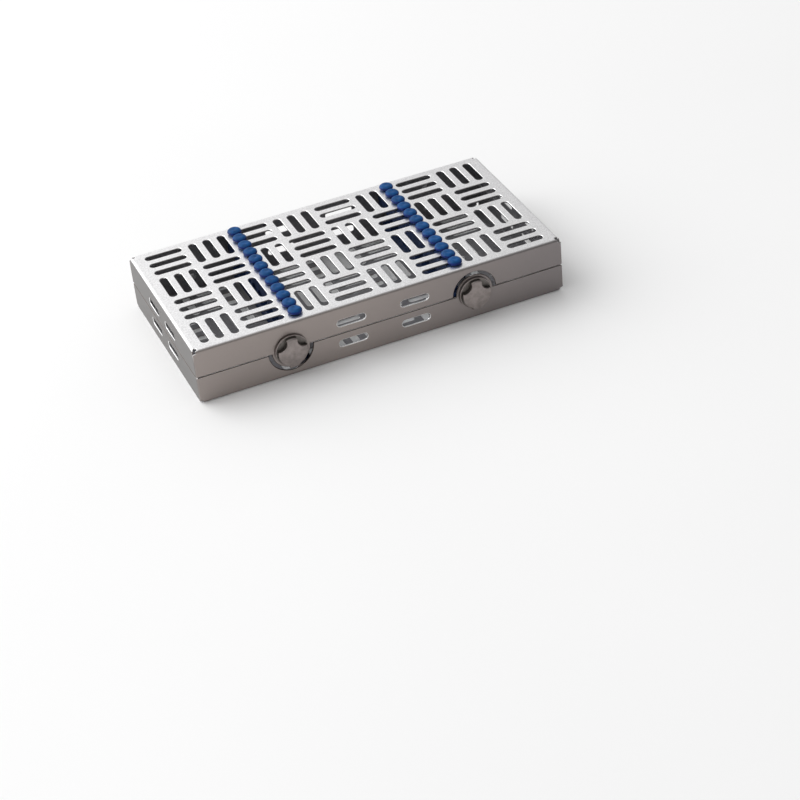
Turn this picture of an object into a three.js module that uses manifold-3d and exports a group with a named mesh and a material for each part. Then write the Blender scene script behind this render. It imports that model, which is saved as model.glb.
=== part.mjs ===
// Dental instrument cassette: a folded stainless tray with a hinged lid of the same make.
// Millimetres, +Z up. The origin is the middle of the base's underside, +X runs to the
// right along the front wall and +Y runs to the hinges at the back.

import * as THREE from 'three';
import { mergeVertices } from 'three/addons/utils/BufferGeometryUtils.js';
import Module from 'manifold-3d';

const wasm = await Module();
wasm.setup();

// The closed case and its sheet
const caseLength = 205;
const caseDepth = 104;
const caseHeight = 31.8;
const sheet = 1;
const foldRadius = 1.7;
const partingGap = 0.3;
const seamGap = 0.3;
const reliefRadius = 1.15;
const cutOverrun = 3;

// The basket weave of slots in the lid and in the floor
const slotWidth = 4.3;
const slotPitch = 8.12;
const slotsPerGroup = 3;
const weaveEdge = 4.6;

// The slots in the upright walls
const wallSlotLength = 15.8;
const wallSlotWidth = 3.9;
const wallSlotRise = 6.1;
const frontSlotOffset = 17.7;
const endSlotOffset = 13;

// The latches: a half-round tab of one half stands in a notch of the other
const latchInset = 51;
const tabRadius = 10.3;
const notchGap = 1.9;
const runningGap = 0.3;

// The latch knob, measured outward from the wall's face
const skirtRadius = 9;
const skirtThickness = 1.2;
const gripRadius = 8.1;
const gripThickness = 2.8;
const gripEdge = 0.5;
const biteRadius = 4.2;
const biteAcross = 7;
const biteUp = 6.3;
const spurHalfWidth = 2.8;
const spurReach = 9;
const spurCorner = 0.9;
const stemRadius = 2.9;

// The latch inside the wall: washer, cam on the stem's square end, and a round-headed screw
const washerThickness = 0.4;
const washerOuterRadius = 5.2;
const camThickness = 1.2;
const camHubRadius = 4.8;
const camReach = 10;
const camRestAngle = 132;
const camLobeHalfAngle = 16;
const camFlankHalfAngle = 21;
const squareWidth = 4;
const spindleRadius = 1.2;
const spindleClearance = 0.15;
const spindleGripDepth = 2.2;
const spindleHeadRadius = 3.8;
const spindleHeadHeight = 1.2;
const spindleCrownShare = 0.7;

// The keeper, a strip bent inward off the wall, that the cam's lobe turns past
const keeperSheet = 1;
const keeperFingerStart = 6.6;
const keeperBendStart = 11;
const keeperPadStart = 13;
const keeperEnd = 20;
const keeperRise = 0.6;
const keeperFingerWidth = 1.8;
const keeperPadHeight = 7;

// The silicone strips and rails, which lie along a line of the weave
const stripColumn = 2;
const railWidth = 7;
const railEndCut = 2.2;
const grooveRadius = 2.9;
const lidCombHeight = 12;
const baseRailHeight = 11.6;
const headRadius = 3.9;
const headHeight = 2.4;
const headRadiusShares = [0.9, 1, 0.66, 0];
const headHeightShares = [0, 0.42, 1, 0.86];
const neckRadius = 1.5;
const neckRoot = 1.5;

// The steel channels that hold the lower rails
const channelSheet = 0.6;
const channelHeight = 5;
const channelLip = 3;

// The hinges and their rivets
const hingeInset = 40.5;
const hingeWidth = 26;
const middleKnuckleHalf = 4.35;
const barrelRadius = 2.2;
const barrelStandOff = 2.5;
const hingePinRadius = 1.1;
const hingePinClearance = 0.15;
const hingePinEnd = 0.5;
const leafThickness = 0.8;
const leafHeight = 9.6;
const rivetAcross = 7.6;
const rivetEdge = 2.8;
const rivetRadius = 1;
const rivetClearance = 0.25;
const rivetHeadRadius = 1.9;
const rivetHeadHeight = 0.7;
const rivetCrownShare = 0.7;

// How many straight steps make a round stretch
const slotEndSteps = 3;
const foldSteps = 2;
const grooveSteps = 4;
const gripSteps = 6;
const eyeSides = 12;
const headSides = 8;
const smallSides = 8;
const barrelSides = 12;
const latchSides = 24;

// Places that follow from the sizes
const partingHeight = caseHeight / 2;
const wallHeight = partingHeight - partingGap / 2;
const slotLength = (slotsPerGroup - 1) * slotPitch + slotWidth;
const groupPitch = slotsPerGroup * slotPitch;
const groupGap = groupPitch - slotLength;
const groupColumns = Math.floor((caseLength - 2 * weaveEdge + groupGap) / groupPitch);
const groupRows = Math.floor((caseDepth - 2 * weaveEdge + groupGap) / groupPitch);
const headCount = groupRows * slotsPerGroup;
const railLength = headCount * slotPitch - 2 * railEndCut;
const stripLine = ((groupColumns - 1) / 2 - stripColumn) * groupPitch + slotPitch;
const latchOffset = caseLength / 2 - latchInset;
const hingeOffset = caseLength / 2 - hingeInset;
const notchRadius = tabRadius + notchGap;
const tabHoleRadius = stemRadius + runningGap;
const washerStart = sheet + runningGap;
const camStart = washerStart + washerThickness + runningGap;
const stemLength = camStart - runningGap;
const camEnd = camStart + camThickness;
const spindleHeadStart = camEnd + runningGap;
const keeperBack = camEnd - (camThickness - keeperSheet) / 2;
const barrelCentre = caseDepth / 2 + barrelStandOff;
const rivetDrop = leafHeight - rivetEdge;

// Most pieces come in a left and a right
const sides = [{ name: 'left', sign: -1 }, { name: 'right', sign: 1 }];

// Directions: a shape's x, y and thickness turned to the way that it faces
const across = new THREE.Vector3(1, 0, 0);
const back = new THREE.Vector3(0, 1, 0);
const up = new THREE.Vector3(0, 0, 1);
const frontward = new THREE.Vector3(0, -1, 0);
const facingFront = new THREE.Matrix4().makeBasis(across, up, frontward);
const facingEnd = new THREE.Matrix4().makeBasis(back, up, across);

// A closed solid from a geometry, and a geometry from a solid
function solidOf(geometry) {
  const bare = geometry.clone();
  bare.deleteAttribute('normal');
  bare.deleteAttribute('uv');
  const merged = mergeVertices(bare);
  const vertProperties = new Float32Array(merged.attributes.position.array);
  const triVerts = new Uint32Array(merged.index.array);
  return new wasm.Manifold(new wasm.Mesh({ numProp: 3, vertProperties, triVerts }));
}

function geometryOf(solid) {
  const mesh = solid.getMesh();
  const geometry = new THREE.BufferGeometry();
  const positions = new Float32Array(mesh.vertProperties);
  geometry.setAttribute('position', new THREE.BufferAttribute(positions, 3));
  geometry.setIndex(new THREE.BufferAttribute(new Uint32Array(mesh.triVerts), 1));
  return geometry;
}

// The points of a round stretch, with both ends
function arc(x, y, radius, from, to, steps) {
  const points = [];
  for (let step = 0; step <= steps; step += 1) {
    const angle = from + (to - from) * step / steps;
    points.push(new THREE.Vector2(x + radius * Math.cos(angle), y + radius * Math.sin(angle)));
  }
  return points;
}

function point(x, y) {
  return new THREE.Vector2(x, y);
}

// A flat piece from an outline or several, from 0 up to its thickness
function plate(shapes, thickness) {
  return new THREE.ExtrudeGeometry(shapes, { depth: thickness, bevelEnabled: false });
}

// A box between two places on each axis
function block(x, y, z) {
  const geometry = new THREE.BoxGeometry(x[1] - x[0], y[1] - y[0], z[1] - z[0]);
  return geometry.translate((x[0] + x[1]) / 2, (y[0] + y[1]) / 2, (z[0] + z[1]) / 2);
}

// Two places in rising order
function span(a, b) {
  return [Math.min(a, b), Math.max(a, b)];
}

// Round bars between two places on the axis that they lie along
function barAlongY(radius, from, to, sideCount) {
  const geometry = new THREE.CylinderGeometry(radius, radius, to - from, sideCount);
  return geometry.translate(0, (from + to) / 2, 0);
}

function barAlongX(radius, from, to, sideCount) {
  const turn = new THREE.Matrix4().makeBasis(up, across, back);
  return barAlongY(radius, from, to, sideCount).applyMatrix4(turn);
}

function barAlongZ(radius, from, to, sideCount) {
  const turn = new THREE.Matrix4().makeBasis(back, up, across);
  return barAlongY(radius, from, to, sideCount).applyMatrix4(turn);
}

// A slot with round ends, along x or along y
function slotShape(x, y, length, width, alongY) {
  const radius = width / 2;
  const reach = length / 2 - radius;
  const turn = alongY ? Math.PI / 2 : 0;
  const reachX = alongY ? 0 : reach;
  const reachY = alongY ? reach : 0;
  const start = turn - Math.PI / 2;
  const middle = turn + Math.PI / 2;
  return new THREE.Shape([
    ...arc(x + reachX, y + reachY, radius, start, middle, slotEndSteps),
    ...arc(x - reachX, y - reachY, radius, middle, middle + Math.PI, slotEndSteps),
  ]);
}

// The basket weave: groups of three slots that lie along x and along y by turns
function weaveShapes() {
  const shapes = [];
  for (let column = 0; column < groupColumns; column += 1) {
    for (let row = 0; row < groupRows; row += 1) {
      const x = (column - (groupColumns - 1) / 2) * groupPitch;
      const y = (row - (groupRows - 1) / 2) * groupPitch;
      const alongY = (column + row) % 2 === 1;
      for (let slot = 0; slot < slotsPerGroup; slot += 1) {
        const step = (slot - (slotsPerGroup - 1) / 2) * slotPitch;
        const slotX = alongY ? x + step : x;
        const slotY = alongY ? y : y + step;
        shapes.push(slotShape(slotX, slotY, slotLength, slotWidth, alongY));
      }
    }
  }
  return shapes;
}

// A folded section: a floor with an upright wall on each side
function foldedSection(width) {
  const half = width / 2;
  const bend = half - foldRadius;
  const inner = foldRadius - sheet;
  const quarter = Math.PI / 2;
  return new THREE.Shape([
    point(-half, wallHeight),
    ...arc(-bend, foldRadius, foldRadius, 2 * quarter, 3 * quarter, foldSteps),
    ...arc(bend, foldRadius, foldRadius, -quarter, 0, foldSteps),
    point(half, wallHeight),
    point(half - sheet, wallHeight),
    ...arc(bend, foldRadius, inner, 0, -quarter, foldSteps),
    ...arc(-bend, foldRadius, inner, 3 * quarter, 2 * quarter, foldSteps),
    point(-half + sheet, wallHeight),
  ]);
}

// The floor and four walls before any hole, with open seams at the corners
function foldedTray() {
  const flatLength = caseLength - 2 * foldRadius;
  const flatDepth = caseDepth - 2 * foldRadius;
  const lengthways = plate(foldedSection(caseDepth), flatLength);
  lengthways.translate(0, 0, -flatLength / 2).applyMatrix4(facingEnd);
  const widthways = plate(foldedSection(caseLength), flatDepth);
  widthways.translate(0, 0, -flatDepth / 2).applyMatrix4(facingFront);
  let tray = solidOf(lengthways).add(solidOf(widthways));
  const rise = [foldRadius, wallHeight];
  for (const endSign of [-1, 1]) {
    const endFace = endSign * caseLength / 2;
    const bendX = endSign * flatLength / 2;
    for (const longSign of [-1, 1]) {
      const longFace = longSign * caseDepth / 2;
      const bendY = longSign * flatDepth / 2;
      const longInner = longFace - longSign * sheet;
      const longWallEnd = block(span(bendX, endFace), span(longInner, longFace), rise);
      const endInner = endFace - endSign * sheet;
      const seamEdge = longInner - longSign * seamGap;
      const endWallEnd = block(span(endInner, endFace), span(0, seamEdge), rise);
      const relief = barAlongZ(reliefRadius, -cutOverrun, foldRadius, smallSides);
      relief.translate(bendX, bendY, 0);
      tray = tray.add(solidOf(longWallEnd)).add(solidOf(endWallEnd)).subtract(solidOf(relief));
    }
  }
  return tray;
}

// A pair of slots in opposite walls, one each side of the middle
function wallSlots(offset, reach, facing) {
  const height = partingHeight - wallSlotRise;
  const pair = [-1, 1].map((side) => {
    return slotShape(side * offset, height, wallSlotLength, wallSlotWidth, false);
  });
  return plate(pair, reach).translate(0, 0, -reach / 2).applyMatrix4(facing);
}

// The rivets of both hinges, by name and by place along the wall
function rivetPlaces() {
  const places = [];
  for (const side of sides) {
    const middle = side.sign * hingeOffset;
    places.push({ name: `${side.name}_outer`, x: middle + side.sign * rivetAcross });
    places.push({ name: `${side.name}_inner`, x: middle - side.sign * rivetAcross });
  }
  return places;
}

// One half of the case, floor down, with its latch wall on the side that front says
function trayHalf(front, notchSide, tabSide) {
  let tray = foldedTray();
  const weave = plate(weaveShapes(), sheet + 2 * cutOverrun).translate(0, 0, -cutOverrun);
  const longSlots = wallSlots(frontSlotOffset, caseDepth + 2 * cutOverrun, facingFront);
  const endSlots = wallSlots(endSlotOffset, caseLength + 2 * cutOverrun, facingEnd);
  tray = tray.subtract(solidOf(weave)).subtract(solidOf(longSlots)).subtract(solidOf(endSlots));

  // The notch for the other half's tab, and this half's own tab with its hole
  const wall = span(front * caseDepth / 2, front * (caseDepth / 2 - sheet));
  const cut = [wall[0] - cutOverrun, wall[1] + cutOverrun];
  const notch = barAlongY(notchRadius, ...cut, latchSides);
  notch.translate(notchSide * latchOffset, 0, partingHeight);
  const tab = barAlongY(tabRadius, ...wall, latchSides);
  tab.translate(tabSide * latchOffset, 0, partingHeight);
  const tabHole = barAlongY(tabHoleRadius, ...cut, eyeSides);
  tabHole.translate(tabSide * latchOffset, 0, partingHeight);
  tray = tray.subtract(solidOf(notch)).add(solidOf(tab)).subtract(solidOf(tabHole));

  // The holes for the hinge rivets in the wall behind
  const backWall = span(-front * caseDepth / 2, -front * (caseDepth / 2 - sheet));
  const backCut = [backWall[0] - cutOverrun, backWall[1] + cutOverrun];
  for (const place of rivetPlaces()) {
    const hole = barAlongY(rivetRadius + rivetClearance, ...backCut, smallSides);
    tray = tray.subtract(solidOf(hole.translate(place.x, 0, partingHeight - rivetDrop)));
  }
  return tray;
}

// A half turned over about x, so that its floor is the lid's top
function turnedOver(geometry) {
  return geometry.scale(1, -1, -1).translate(0, 0, caseHeight);
}

// A comb: a bar along y with round grooves between its fingers, from 0 up to its height
function comb(height) {
  const half = railLength / 2;
  const grooves = [];
  for (let groove = headCount - 2; groove >= 0; groove -= 1) {
    const centre = (groove - (headCount - 2) / 2) * slotPitch;
    grooves.push(...arc(centre, height, grooveRadius, 0, -Math.PI, grooveSteps));
  }
  const outline = [point(-half, 0), point(half, 0), point(half, height), ...grooves,
    point(-half, height)];
  const geometry = plate(new THREE.Shape(outline), railWidth);
  return geometry.translate(0, 0, -railWidth / 2).applyMatrix4(facingEnd);
}

// A round head on its neck, from the lid's face up. The root of the neck is in the comb.
function stripHead() {
  const neckEnd = -2 * runningGap - sheet - neckRoot;
  const profile = [point(0, neckEnd), point(neckRadius, neckEnd), point(neckRadius, 0)];
  headRadiusShares.forEach((share, ring) => {
    profile.push(point(share * headRadius, headHeightShares[ring] * headHeight));
  });
  return new THREE.LatheGeometry(profile, headSides).rotateX(Math.PI / 2);
}

// The lid strip: a comb under the lid and its heads above it
function lidStrip() {
  const body = comb(lidCombHeight).scale(1, -1, -1);
  let strip = solidOf(body.translate(0, 0, caseHeight - sheet - runningGap));
  const head = stripHead().translate(0, 0, caseHeight + runningGap);
  for (let place = 0; place < headCount; place += 1) {
    const y = (place - (headCount - 1) / 2) * slotPitch;
    strip = strip.add(solidOf(head.clone().translate(0, y, 0)));
  }
  return geometryOf(strip);
}

// The channel under a lower rail: a floor, two walls and a lip at each end
function railChannel() {
  const halfWidth = railWidth / 2 + runningGap + channelSheet;
  const halfLength = railLength / 2 + runningGap + channelSheet;
  const width = [-halfWidth, halfWidth];
  const length = [-halfLength, halfLength];
  let channel = solidOf(block(width, length, [0, channelSheet]));
  for (const sign of [-1, 1]) {
    const wallX = span(sign * halfWidth, sign * (halfWidth - channelSheet));
    const lipY = span(sign * halfLength, sign * (halfLength - channelSheet));
    channel = channel.add(solidOf(block(wallX, length, [0, channelHeight])));
    channel = channel.add(solidOf(block(width, lipY, [0, channelLip])));
  }
  return geometryOf(channel);
}

// The knob's grip from the front: a disc with two finger bites above and a spur below
function gripShape() {
  const reach = Math.hypot(biteAcross, biteUp);
  const biteAngle = Math.atan2(biteUp, biteAcross);
  const along = (gripRadius ** 2 - biteRadius ** 2 + reach ** 2) / (2 * reach);
  const discTurn = Math.acos(along / gripRadius);
  const biteTurn = Math.acos((reach - along) / biteRadius);
  const spurAngle = -Math.acos(spurHalfWidth / gripRadius);
  const towardRight = Math.PI + biteAngle;
  return new THREE.Shape([
    ...arc(0, 0, gripRadius, spurAngle, biteAngle - discTurn, gripSteps),
    ...arc(biteAcross, biteUp, biteRadius, towardRight + biteTurn, towardRight - biteTurn,
      gripSteps).slice(1, -1),
    ...arc(0, 0, gripRadius, biteAngle + discTurn, Math.PI - biteAngle - discTurn, gripSteps),
    ...arc(-biteAcross, biteUp, biteRadius, -biteAngle + biteTurn, -biteAngle - biteTurn,
      gripSteps).slice(1, -1),
    ...arc(0, 0, gripRadius, Math.PI - biteAngle + discTurn, Math.PI - spurAngle, gripSteps),
    point(-spurHalfWidth, spurCorner - spurReach),
    point(spurCorner - spurHalfWidth, -spurReach),
    point(spurHalfWidth - spurCorner, -spurReach),
    point(spurHalfWidth, spurCorner - spurReach),
  ]);
}

// The knob, outward along z from the wall's face: skirt and grip outside, stem through the
// wall, and a square end for the cam. The screw's hole runs up its middle.
function knob() {
  const skirtFace = runningGap + skirtThickness;
  const skirt = barAlongZ(skirtRadius, runningGap, skirtFace, latchSides);
  const grip = new THREE.ExtrudeGeometry(gripShape(), {
    depth: gripThickness - gripEdge,
    bevelThickness: gripEdge,
    bevelSize: gripEdge,
    bevelOffset: -gripEdge,
    bevelSegments: 1,
  });
  const stem = barAlongZ(stemRadius, -stemLength, skirtFace, eyeSides);
  const halfSquare = squareWidth / 2;
  const square = block([-halfSquare, halfSquare], [-halfSquare, halfSquare], [-camEnd, 0]);
  const bore = barAlongZ(spindleRadius + spindleClearance, -camEnd - cutOverrun,
    spindleGripDepth + runningGap, smallSides);
  const outside = solidOf(skirt).add(solidOf(grip.translate(0, 0, skirtFace)));
  const whole = outside.add(solidOf(stem)).add(solidOf(square));
  return geometryOf(whole.subtract(solidOf(bore)));
}

// The screw that holds the cam on the square: a shank and a domed head inside the case
function spindle() {
  const profile = [
    point(0, -spindleHeadStart - spindleHeadHeight),
    point(spindleCrownShare * spindleHeadRadius, -spindleHeadStart - spindleHeadHeight),
    point(spindleHeadRadius, -spindleHeadStart - spindleHeadHeight / 2),
    point(spindleHeadRadius, -spindleHeadStart),
    point(spindleRadius, -spindleHeadStart),
    point(spindleRadius, spindleGripDepth),
    point(0, spindleGripDepth),
  ];
  return new THREE.LatheGeometry(profile, eyeSides).rotateX(Math.PI / 2);
}

// The spring washer between the wall and the cam
function washer() {
  const shape = new THREE.Shape(arc(0, 0, washerOuterRadius, 0, 2 * Math.PI, latchSides));
  shape.holes.push(new THREE.Path(arc(0, 0, tabHoleRadius, 0, 2 * Math.PI, eyeSides)));
  return plate(shape, washerThickness).translate(0, 0, -washerStart - washerThickness);
}

// The cam: a hub with one lobe that widens outward, and a square eye
function cam() {
  const middle = THREE.MathUtils.degToRad(camRestAngle);
  const lobe = THREE.MathUtils.degToRad(camLobeHalfAngle);
  const flank = THREE.MathUtils.degToRad(camFlankHalfAngle);
  const shape = new THREE.Shape([
    ...arc(0, 0, camReach, middle - lobe, middle + lobe, gripSteps),
    ...arc(0, 0, camHubRadius, middle + flank, middle - flank + 2 * Math.PI, latchSides),
  ]);
  const eye = squareWidth / 2 + runningGap;
  shape.holes.push(new THREE.Path([point(-eye, -eye), point(eye, -eye), point(eye, eye),
    point(-eye, eye)]));
  return plate(shape, camThickness).translate(0, 0, -camEnd);
}

// The keeper: a pad on the wall, and a finger that steps inward to the cam's level
function keeper() {
  const wallFace = -sheet;
  const fingerFace = -keeperBack + keeperSheet;
  const strip = plate(new THREE.Shape([
    point(keeperFingerStart, -keeperBack),
    point(keeperBendStart, -keeperBack),
    point(keeperPadStart, wallFace - keeperSheet),
    point(keeperEnd, wallFace - keeperSheet),
    point(keeperEnd, wallFace),
    point(keeperPadStart, wallFace),
    point(keeperBendStart, fingerFace),
    point(keeperFingerStart, fingerFace),
  ]), keeperFingerWidth);
  strip.applyMatrix4(facingFront).translate(0, keeperRise + keeperFingerWidth, 0);
  const pad = block([keeperPadStart, keeperEnd], [keeperRise, keeperRise + keeperPadHeight],
    [wallFace - keeperSheet, wallFace]);
  return geometryOf(solidOf(strip).add(solidOf(pad)));
}

// A latch piece turned from its own frame to face the front. The lid's cam and the base's
// keeper are the other latch's pieces turned half round.
function toFront(geometry, halfRound) {
  if (halfRound) geometry.scale(-1, -1, 1);
  return geometry.applyMatrix4(facingFront);
}

// A hinge leaf below its pin, with the knuckles that it has, on a wall at -barrelStandOff
function hingeLeaf(knuckles) {
  const half = hingeWidth / 2;
  const leafDepth = [-barrelStandOff, leafThickness - barrelStandOff];
  const clear = barrelRadius + runningGap;
  let leaf = solidOf(block([-half, half], leafDepth, [-leafHeight, -clear]));
  for (const knuckle of knuckles) {
    const web = block(knuckle, leafDepth, [-rivetDrop, 0]);
    const barrel = barAlongX(barrelRadius, ...knuckle, barrelSides);
    leaf = leaf.add(solidOf(web)).add(solidOf(barrel));
  }
  const boreRadius = hingePinRadius + hingePinClearance;
  const bore = barAlongX(boreRadius, -half - cutOverrun, half + cutOverrun, barrelSides);
  leaf = leaf.subtract(solidOf(bore));
  for (const sign of [-1, 1]) {
    const hole = barAlongY(rivetRadius + rivetClearance, leafDepth[0] - cutOverrun,
      leafDepth[1] + cutOverrun, smallSides);
    leaf = leaf.subtract(solidOf(hole.translate(sign * rivetAcross, 0, -rivetDrop)));
  }
  return geometryOf(leaf);
}

// A rivet through a leaf and a wall, with a head on each, about the hinge's own line
function rivet() {
  const wallBack = -barrelStandOff - sheet;
  const leafFace = -barrelStandOff + leafThickness;
  const crown = rivetCrownShare * rivetHeadRadius;
  return new THREE.LatheGeometry([
    point(0, wallBack - rivetHeadHeight),
    point(crown, wallBack - rivetHeadHeight),
    point(rivetHeadRadius, wallBack),
    point(rivetRadius, wallBack),
    point(rivetRadius, leafFace),
    point(rivetHeadRadius, leafFace),
    point(crown, leafFace + rivetHeadHeight),
    point(0, leafFace + rivetHeadHeight),
  ], smallSides);
}

// The finish of each kind of piece
const traySteel = new THREE.MeshStandardMaterial({ color: 0xcfcfd1, roughness: 0.35, metalness: 1 });
const castSteel = new THREE.MeshStandardMaterial({ color: 0x9c9691, roughness: 0.42, metalness: 1 });
const brightSteel = new THREE.MeshStandardMaterial({ color: 0xdcdde0, roughness: 0.2, metalness: 1 });
const silicone = new THREE.MeshStandardMaterial({ color: 0x14499a, roughness: 0.5, metalness: 0 });

function piece(name, geometry, finish) {
  const mesh = new THREE.Mesh(geometry, finish.clone());
  mesh.name = name;
  return mesh;
}

const cassette = new THREE.Group();
const base = new THREE.Group();
const lid = new THREE.Group();
cassette.add(base, lid);

// The two halves: the base's tab is on the right and the lid's is on the left
base.add(piece('base_tray', geometryOf(trayHalf(-1, -1, 1)), traySteel));
lid.add(piece('lid_tray', turnedOver(geometryOf(trayHalf(1, 1, -1))), traySteel));

// The silicone above and below, and the channels on the floor
for (const side of sides) {
  const strip = piece(`lid_strip_${side.name}`, lidStrip(), silicone);
  strip.position.x = side.sign * stripLine;
  lid.add(strip);
  const channel = piece(`rail_channel_${side.name}`, railChannel(), brightSteel);
  channel.position.set(side.sign * stripLine, 0, sheet);
  const rail = piece(`base_rail_${side.name}`, comb(baseRailHeight), silicone);
  rail.position.set(side.sign * stripLine, 0, sheet + channelSheet + runningGap);
  base.add(channel, rail);
}

// The latches: the lid carries the left one and the base carries the right one
for (const side of sides) {
  const onLid = side.name === 'left';
  const latch = new THREE.Group();
  latch.position.set(side.sign * latchOffset, -caseDepth / 2, partingHeight);
  latch.add(piece(`latch_knob_${side.name}`, toFront(knob(), false), castSteel));
  latch.add(piece(`latch_spindle_${side.name}`, toFront(spindle(), false), brightSteel));
  latch.add(piece(`latch_washer_${side.name}`, toFront(washer(), false), brightSteel));
  latch.add(piece(`latch_cam_${side.name}`, toFront(cam(), onLid), brightSteel));
  const striker = piece(`latch_keeper_${side.name}`, toFront(keeper(), onLid), brightSteel);
  striker.position.copy(latch.position);
  if (onLid) {
    lid.add(latch);
    base.add(striker);
  } else {
    base.add(latch);
    lid.add(striker);
  }
}

// The hinges: the base's leaf has the two end knuckles and the lid's has the middle one
const knuckleEnd = hingeWidth / 2;
const endKnuckleStart = middleKnuckleHalf + runningGap;
const endKnuckles = [[-knuckleEnd, -endKnuckleStart], [endKnuckleStart, knuckleEnd]];
const middleKnuckles = [[-middleKnuckleHalf, middleKnuckleHalf]];
for (const side of sides) {
  const hinge = new THREE.Group();
  hinge.position.set(side.sign * hingeOffset, barrelCentre, partingHeight);
  const lidLeaf = hingeLeaf(middleKnuckles).scale(-1, 1, -1);
  const pinReach = knuckleEnd + hingePinEnd;
  const pin = barAlongX(hingePinRadius, -pinReach, pinReach, smallSides);
  hinge.add(piece(`hinge_base_leaf_${side.name}`, hingeLeaf(endKnuckles), brightSteel));
  hinge.add(piece(`hinge_lid_leaf_${side.name}`, lidLeaf, brightSteel));
  hinge.add(piece(`hinge_pin_${side.name}`, pin, brightSteel));
  cassette.add(hinge);
}

// The rivets of the leaves, four in each half
for (const place of rivetPlaces()) {
  const baseRivet = piece(`base_rivet_${place.name}`, rivet(), brightSteel);
  baseRivet.position.set(place.x, barrelCentre, partingHeight - rivetDrop);
  base.add(baseRivet);
  const lidRivet = piece(`lid_rivet_${place.name}`, rivet(), brightSteel);
  lidRivet.position.set(place.x, barrelCentre, partingHeight + rivetDrop);
  lid.add(lidRivet);
}

export default cassette;
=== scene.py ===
# %% [markdown]
# # A pierced steel cassette for dental instruments
# The real thing is a flat stainless box. Two pressed trays close on each other, blue
# silicone strips hold the instruments still, and two turning knobs lock the lid. The packed
# model already says where every piece is and how big it is, so the first step loads it as
# a fixed frame. Whatever is modelled here is made in that frame and rides on its bodies.

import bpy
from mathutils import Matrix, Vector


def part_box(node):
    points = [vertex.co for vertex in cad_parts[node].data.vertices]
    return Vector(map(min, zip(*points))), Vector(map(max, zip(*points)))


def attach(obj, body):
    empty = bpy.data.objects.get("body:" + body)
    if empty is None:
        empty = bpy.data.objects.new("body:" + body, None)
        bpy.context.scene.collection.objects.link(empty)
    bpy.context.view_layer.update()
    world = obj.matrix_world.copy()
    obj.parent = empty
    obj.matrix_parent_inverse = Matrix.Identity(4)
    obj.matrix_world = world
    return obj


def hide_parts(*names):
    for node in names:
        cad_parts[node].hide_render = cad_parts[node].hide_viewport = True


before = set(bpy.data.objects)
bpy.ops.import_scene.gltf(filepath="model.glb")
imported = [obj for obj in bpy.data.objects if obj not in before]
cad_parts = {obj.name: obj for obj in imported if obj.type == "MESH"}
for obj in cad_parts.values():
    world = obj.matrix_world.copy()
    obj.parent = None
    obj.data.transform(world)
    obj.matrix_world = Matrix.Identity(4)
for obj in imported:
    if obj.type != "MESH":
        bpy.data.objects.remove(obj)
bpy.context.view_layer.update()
print("nodes in the frame:", len(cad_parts))

# %% [markdown]
# ## The camera
# The camera comes first, because every later choice is judged through it. Its place was
# worked out from the corners of the case and the ends of its slots, and the long lens
# keeps the box nearly free of perspective.

# %% Stand the camera where the photograph was taken
import math

import bpy
from mathutils import Matrix, Vector
from mathutils.geometry import delaunay_2d_cdt

camera_place = (-0.30880, -0.89386, 0.60566)
camera_turn = (54.301, 4.752, -23.797)
camera_lens = 94.03

camera = bpy.data.objects.new("camera", bpy.data.cameras.new("camera"))
camera.data.lens = camera_lens
camera.location = camera_place
camera.rotation_euler = [math.radians(angle) for angle in camera_turn]
bpy.context.collection.objects.link(camera)
bpy.context.scene.camera = camera
bpy.context.scene.view_settings.view_transform = "Standard"
print("camera to the middle of the case:", round(camera.location.length, 3), "m")

# %% [markdown]
# ## Sizes
# A sheet metal worker thinks in millimetres, so the sizes below are millimetres too, and
# one scale turns a finished piece into Blender's metres. The outside of the case is read
# from the frame. The rest are the stock and the tools: how thick the sheet is, how tight
# it is bent, and how wide the punches are.

# %% Read the outside of the case
metres = 0.001


def extent(node):
    """The lowest and highest corner of a piece of the frame, in millimetres."""
    low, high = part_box(node)
    return low / metres, high / metres


def middle_x(node):
    """Where the middle of a piece of the frame lies from left to right."""
    low, high = extent(node)
    return (low.x + high.x) / 2


case_low, case_high = extent("base_tray")
case_length = case_high.x - case_low.x
case_depth = case_high.y - case_low.y
case_height = extent("lid_tray")[1].z
parting = case_height / 2
print("case:", round(case_length, 2), round(case_depth, 2), round(case_height, 2))

# %% Name the stock and the tools
sheet = 1.0
bend_radius = 1.7
parting_gap = 0.3
seam_gap = 0.3
relief_radius = 1.15
running_gap = 0.3

slot_width = 4.3
slot_pitch = 8.12
slots_in_group = 3
group_columns = 8
group_rows = 4
group_pitch = slots_in_group * slot_pitch
slot_length = (slots_in_group - 1) * slot_pitch + slot_width
wall_slot_length = 15.8
wall_slot_width = 3.9
wall_slot_rise = 6.1
front_slot_offset = 17.7
end_slot_offset = 13.0
print("one group of slots is", round(slot_length, 2), "mm square")

# %% [markdown]
# ## Outlines
# Every flat piece starts as an outline, the line that a laser or a punch would follow. An
# outline here is a list of points that goes round anticlockwise. Round stretches are worked
# out by angle, so that how fine they are is one number.

# %% Draw round stretches, circles and slots
end_steps = 10
hole_steps = 24


def arc(x, y, radius, start, end, steps=end_steps):
    """Points of a round stretch from one angle to another, in degrees."""
    points = []
    for step in range(steps + 1):
        angle = math.radians(start + (end - start) * step / steps)
        points.append(Vector((x + radius * math.cos(angle), y + radius * math.sin(angle))))
    return points


def circle(x, y, radius, steps=48):
    """A whole round outline."""
    return arc(x, y, radius, 0, 360, steps)[:-1]


def slot(x, y, length, width, turn):
    """A slot with round ends, along x at 0 degrees and along y at 90."""
    reach = (length - width) / 2
    way = Vector((math.cos(math.radians(turn)), math.sin(math.radians(turn)))) * reach
    far = arc(x + way.x, y + way.y, width / 2, turn - 90, turn + 90)
    near = arc(x - way.x, y - way.y, width / 2, turn + 90, turn + 270)
    return far + near


print("points round one slot:", len(slot(0, 0, slot_length, slot_width, 0)))

# %% Round the corners of an outline
sharp_turn = 25


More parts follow.
